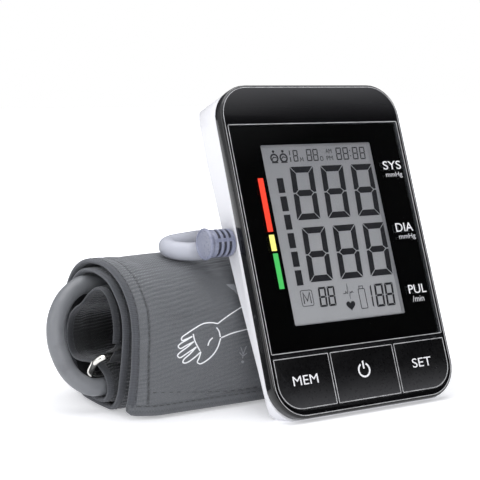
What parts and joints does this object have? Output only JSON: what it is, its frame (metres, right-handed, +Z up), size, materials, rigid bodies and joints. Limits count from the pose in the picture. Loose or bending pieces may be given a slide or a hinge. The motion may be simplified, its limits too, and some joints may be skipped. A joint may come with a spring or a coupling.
{
  "type": "upper-arm blood pressure monitor with cuff",
  "caption": "Display unit leaning back on its lower end, with press keys and a battery door; an air plug and soft hose join it to a wrap-around arm cuff stored as a roll behind it.",
  "frame": {"origin": "centre of the flat facet at the display unit's lower end, which stands on the table", "axes": "+Z up, +X to the right of the display as its user sees it, the display looks towards -Y and leans back 20.3 degrees"},
  "size_m": [0.1922, 0.1073, 0.138],
  "materials": {
    "black_gloss": "high gloss",
    "window": "polished acrylic, printed black on the back around the clear window",
    "lcd": "matt reflective liquid-crystal display",
    "white_inner": "moulded",
    "zebra": "matt",
    "key_black": "gloss",
    "silicone": "matt silicone",
    "board": "solder mask",
    "chip": "satin",
    "port": "satin",
    "air_tube": "translucent silicone",
    "bright_metal": "nickel plated",
    "white_case": "fine satin texture",
    "cell": "printed sleeve, plain colour",
    "wire_red": "satin",
    "wire_black": "satin",
    "rubber_dark": "matt",
    "plug": "satin, slightly translucent",
    "hose": "smooth, slightly translucent vinyl",
    "cuff_fabric": "plain-weave nylon, slight sheen",
    "cuff_lining": "plain-weave nylon",
    "bladder": "matt film",
    "binding": "woven tape",
    "hook_loop": "hook and loop pile",
    "chrome_wire": "polished"
  },
  "bodies": {
    "monitor": {"front_cover": "black_gloss", "display_window": "window", "lcd_glass": "lcd", "backlight_frame": "white_inner", "zebra_strip": "zebra", "key_mat": "silicone", "main_board": "board", "controller_chip": "chip", "buzzer": "chip", "pressure_sensor": "chip", "air_socket": "port", "air_manifold": "air_tube", "socket_tube": "air_tube", "pump_tube": "air_tube", "sensor_tube": "air_tube", "valve_tube": "air_tube", "exhaust_valve": "bright_metal", "pump_motor": "bright_metal", "pump_head": "chip", "rear_cover": "white_case", "battery_cell_1": "cell", "battery_cell_2": "cell", "battery_cell_3": "cell", "battery_cell_4": "cell", "contact_strip_top": "bright_metal", "contact_strip_bottom": "bright_metal", "battery_spring_1": "bright_metal", "battery_spring_2": "bright_metal", "battery_spring_3": "bright_metal", "battery_spring_4": "bright_metal", "wire_positive": "wire_red", "wire_negative": "wire_black", "case_screw_1": "bright_metal", "case_screw_2": "bright_metal", "case_screw_3": "bright_metal", "case_screw_4": "bright_metal", "rubber_foot_1": "rubber_dark", "rubber_foot_2": "rubber_dark"},
    "memory_key": {"memory_key": "key_black"},
    "power_key": {"power_key": "key_black"},
    "set_key": {"set_key": "key_black"},
    "battery_door": {"battery_door": "white_case"},
    "air_plug": {"air_plug": "plug", "plug_seal_ring": "rubber_dark", "air_hose": "hose"},
    "cuff": {"cuff_outer_cover": "cuff_fabric", "cuff_lining": "cuff_lining", "air_bladder": "bladder", "edge_binding_left": "binding", "edge_binding_right": "binding", "tail_end_binding": "binding", "hook_patch": "hook_loop", "loop_patch": "hook_loop", "ring_sleeve": "binding", "hose_port": "port"},
    "d_ring": {"d_ring": "chrome_wire"}
  },
  "joints": [
    {"name": "memory_key_press", "type": "slide", "parent": "monitor", "child": "memory_key", "axis": [0, 0.9379, -0.3469], "range_m": [0, 0.001], "stiffness_N_per_m": 900},
    {"name": "power_key_press", "type": "slide", "parent": "monitor", "child": "power_key", "axis": [0, 0.9379, -0.3469], "range_m": [0, 0.001], "stiffness_N_per_m": 900},
    {"name": "set_key_press", "type": "slide", "parent": "monitor", "child": "set_key", "axis": [0, 0.9379, -0.3469], "range_m": [0, 0.001], "stiffness_N_per_m": 900},
    {"name": "battery_door_hinge", "type": "hinge", "parent": "monitor", "child": "battery_door", "pos_m": [0, 0.05297, 0.07048], "axis": [-1, 0, 0], "range_deg": [0, 62]},
    {"name": "air_plug_pull", "type": "slide", "parent": "monitor", "child": "air_plug", "axis": [-1, 0, 0], "range_m": [0, 0.014]},
    {"name": "hose_flex", "type": "slide", "parent": "air_plug", "child": "cuff", "axis": [0, 1, 0], "range_m": [0, 0.04], "deforming": ["air_hose"]},
    {"name": "d_ring_swing", "type": "hinge", "parent": "cuff", "child": "d_ring", "pos_m": [0, 0.0508, 0.024], "axis": [1, 0, 0], "range_deg": [-6, 8]}
  ]
}
